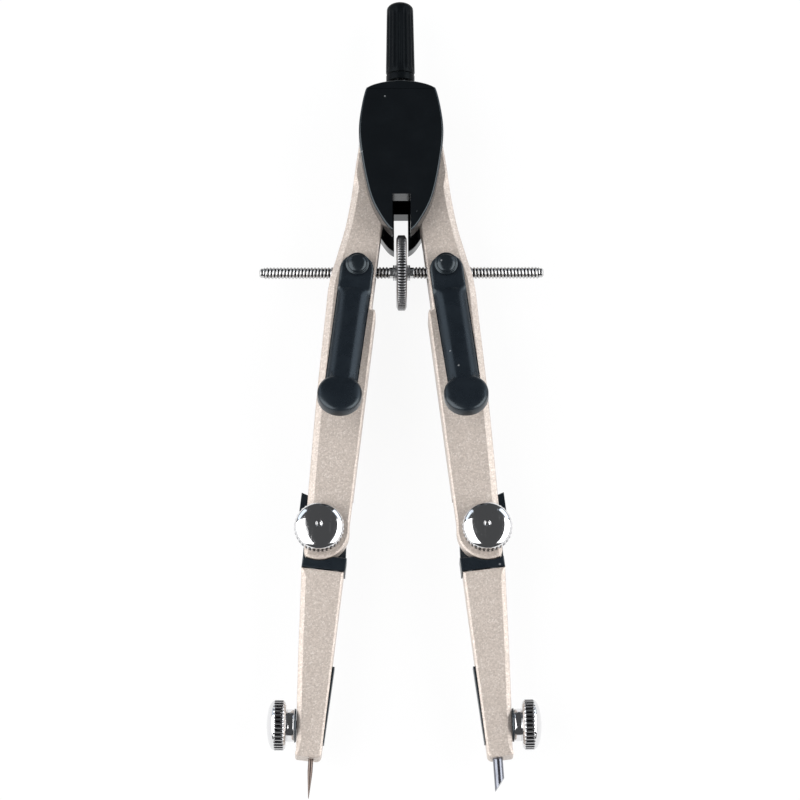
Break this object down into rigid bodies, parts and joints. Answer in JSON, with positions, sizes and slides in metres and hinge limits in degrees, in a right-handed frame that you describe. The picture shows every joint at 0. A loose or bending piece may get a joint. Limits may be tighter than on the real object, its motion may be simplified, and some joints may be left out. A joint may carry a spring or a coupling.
{
  "type": "drawing compass",
  "caption": "Quick-setting bow compass with a centre wheel on a threaded spindle, quick-release levers, jointed legs, a needle and a lead.",
  "frame": {"origin": "centre of the bounding box in plan, on the plane of the rear cover's flat back, which the compass lies on", "axes": "+Y along the handle, +Z out of the front covers, +X towards the leg with the lead"},
  "size_m": [0.0582, 0.17, 0.0229],
  "materials": {
    "black_plastic": "satin black moulded plastic",
    "painted_metal": "warm silver metallic paint, fine speckle",
    "chrome": "polished, lightly scratched",
    "steel": "turned and threaded, bright",
    "brass": "machined",
    "graphite": "dark grey graphite"
  },
  "bodies": {
    "head": {"front_cover": "black_plastic", "rear_cover": "black_plastic", "head_block": "black_plastic", "handle_stem": "steel", "handle_collar": "black_plastic", "handle_grip": "black_plastic", "left_pivot_screw": "steel", "right_pivot_screw": "steel"},
    "wheel_washers": {"left_wheel_washer": "steel", "right_wheel_washer": "steel"},
    "spindle": {"spindle": "steel", "adjusting_wheel": "chrome"},
    "left_leg": {"left_upper_leg": "painted_metal", "left_lever_pin": "steel", "left_lever_spring": "steel"},
    "left_nut": {"left_nut_carrier": "brass"},
    "left_stud": {"left_half_nut": "brass", "left_stud_cap": "black_plastic"},
    "left_lever": {"left_release_lever": "black_plastic"},
    "left_shin": {"left_knee_block": "black_plastic", "left_knee_nut": "steel", "left_lower_leg": "painted_metal", "left_clamp_liner": "black_plastic", "left_clamp_collar": "black_plastic"},
    "left_knee_knob": {"left_knee_screw": "chrome"},
    "left_clamp_knob": {"left_clamp_screw": "chrome"},
    "left_tip": {"needle": "steel"},
    "right_leg": {"right_upper_leg": "painted_metal", "right_lever_pin": "steel", "right_lever_spring": "steel"},
    "right_nut": {"right_nut_carrier": "brass"},
    "right_stud": {"right_half_nut": "brass", "right_stud_cap": "black_plastic"},
    "right_lever": {"right_release_lever": "black_plastic"},
    "right_shin": {"right_knee_block": "black_plastic", "right_knee_nut": "steel", "right_lower_leg": "painted_metal", "right_clamp_liner": "black_plastic", "right_clamp_collar": "black_plastic"},
    "right_knee_knob": {"right_knee_screw": "chrome"},
    "right_clamp_knob": {"right_clamp_screw": "chrome"},
    "right_tip": {"lead": "graphite"}
  },
  "joints": [
    {"name": "adjusting_wheel_turn", "type": "hinge", "parent": "wheel_washers", "child": "spindle", "pos_m": [0, 0.02535, 0.0079], "axis": [-1, 0, 0], "range_deg": [-1847, 7165]},
    {"name": "spindle_shift", "type": "slide", "parent": "left_nut", "child": "wheel_washers", "axis": [1, 0, 0], "range_m": [-0.0036, 0.01395]},
    {"name": "left_leg_swing", "type": "hinge", "parent": "head", "child": "left_leg", "pos_m": [-0.0042, 0.0578, 0.0079], "axis": [0, 0, 1], "range_deg": [-26, 6.7]},
    {"name": "left_nut_swivel", "type": "hinge", "parent": "left_leg", "child": "left_nut", "pos_m": [-0.00905, 0.02535, 0.0079], "axis": [0, 0, 1], "range_deg": [-6.7, 26]},
    {"name": "left_lever_press", "type": "hinge", "parent": "left_leg", "child": "left_lever", "pos_m": [-0.00966, 0.02038, 0.0099], "axis": [0.9928, -0.1201, 0], "range_deg": [0, 10], "stiffness_Nm_per_rad": 0.02, "springref_deg": -20.05, "deforming": ["left_lever_spring"]},
    {"name": "left_half_nut_lift", "type": "slide", "parent": "left_nut", "child": "left_stud", "axis": [0, 0, 1], "range_m": [0, 0.0013]},
    {"name": "left_knee_bend", "type": "hinge", "parent": "left_leg", "child": "left_shin", "pos_m": [-0.01686, -0.03042, 0.0079], "axis": [0, 0, 1], "range_deg": [0, 38]},
    {"name": "left_knee_screw_turn", "type": "hinge", "parent": "left_shin", "child": "left_knee_knob", "pos_m": [-0.01686, -0.03042, 0.0079], "axis": [0, 0, 1], "continuous": true},
    {"name": "left_clamp_screw_turn", "type": "hinge", "parent": "left_shin", "child": "left_clamp_knob", "pos_m": [-0.0214, -0.07016, 0.0079], "axis": [-0.9998, 0.0188, 0], "continuous": true},
    {"name": "needle_slide", "type": "slide", "parent": "left_shin", "child": "left_tip", "axis": [-0.0593, -0.9982, 0], "range_m": [-0.002, 0.004]},
    {"name": "right_leg_swing", "type": "hinge", "parent": "head", "child": "right_leg", "pos_m": [0.0042, 0.0578, 0.0079], "axis": [0, 0, 1], "range_deg": [-6.7, 26]},
    {"name": "right_nut_swivel", "type": "hinge", "parent": "right_leg", "child": "right_nut", "pos_m": [0.00905, 0.02535, 0.0079], "axis": [0, 0, 1], "range_deg": [-26, 6.7]},
    {"name": "right_lever_press", "type": "hinge", "parent": "right_leg", "child": "right_lever", "pos_m": [0.00966, 0.02038, 0.0099], "axis": [0.9928, 0.1201, 0], "range_deg": [0, 10], "stiffness_Nm_per_rad": 0.02, "springref_deg": -20.05, "deforming": ["right_lever_spring"]},
    {"name": "right_half_nut_lift", "type": "slide", "parent": "right_nut", "child": "right_stud", "axis": [0, 0, 1], "range_m": [0, 0.0013]},
    {"name": "right_knee_bend", "type": "hinge", "parent": "right_leg", "child": "right_shin", "pos_m": [0.01686, -0.03042, 0.0079], "axis": [0, 0, -1], "range_deg": [0, 38]},
    {"name": "right_knee_screw_turn", "type": "hinge", "parent": "right_shin", "child": "right_knee_knob", "pos_m": [0.01686, -0.03042, 0.0079], "axis": [0, 0, 1], "continuous": true},
    {"name": "right_clamp_screw_turn", "type": "hinge", "parent": "right_shin", "child": "right_clamp_knob", "pos_m": [0.0214, -0.07016, 0.0079], "axis": [0.9998, 0.0188, 0], "continuous": true},
    {"name": "lead_slide", "type": "slide", "parent": "right_shin", "child": "right_tip", "axis": [0.0593, -0.9982, 0], "range_m": [-0.002, 0.006]}
  ],
  "couplings": [
    {"joint": "adjusting_wheel_turn", "follows": "right_leg_swing", "ratio": 275.57},
    {"joint": "spindle_shift", "follows": "right_leg_swing", "m_per_rad": 0.0307},
    {"joint": "left_leg_swing", "follows": "right_leg_swing", "ratio": -1},
    {"joint": "left_nut_swivel", "follows": "right_leg_swing", "ratio": 1},
    {"joint": "left_half_nut_lift", "follows": "left_lever_press", "m_per_rad": 0.0074},
    {"joint": "right_nut_swivel", "follows": "right_leg_swing", "ratio": -1},
    {"joint": "right_half_nut_lift", "follows": "right_lever_press", "m_per_rad": 0.0074}
  ]
}
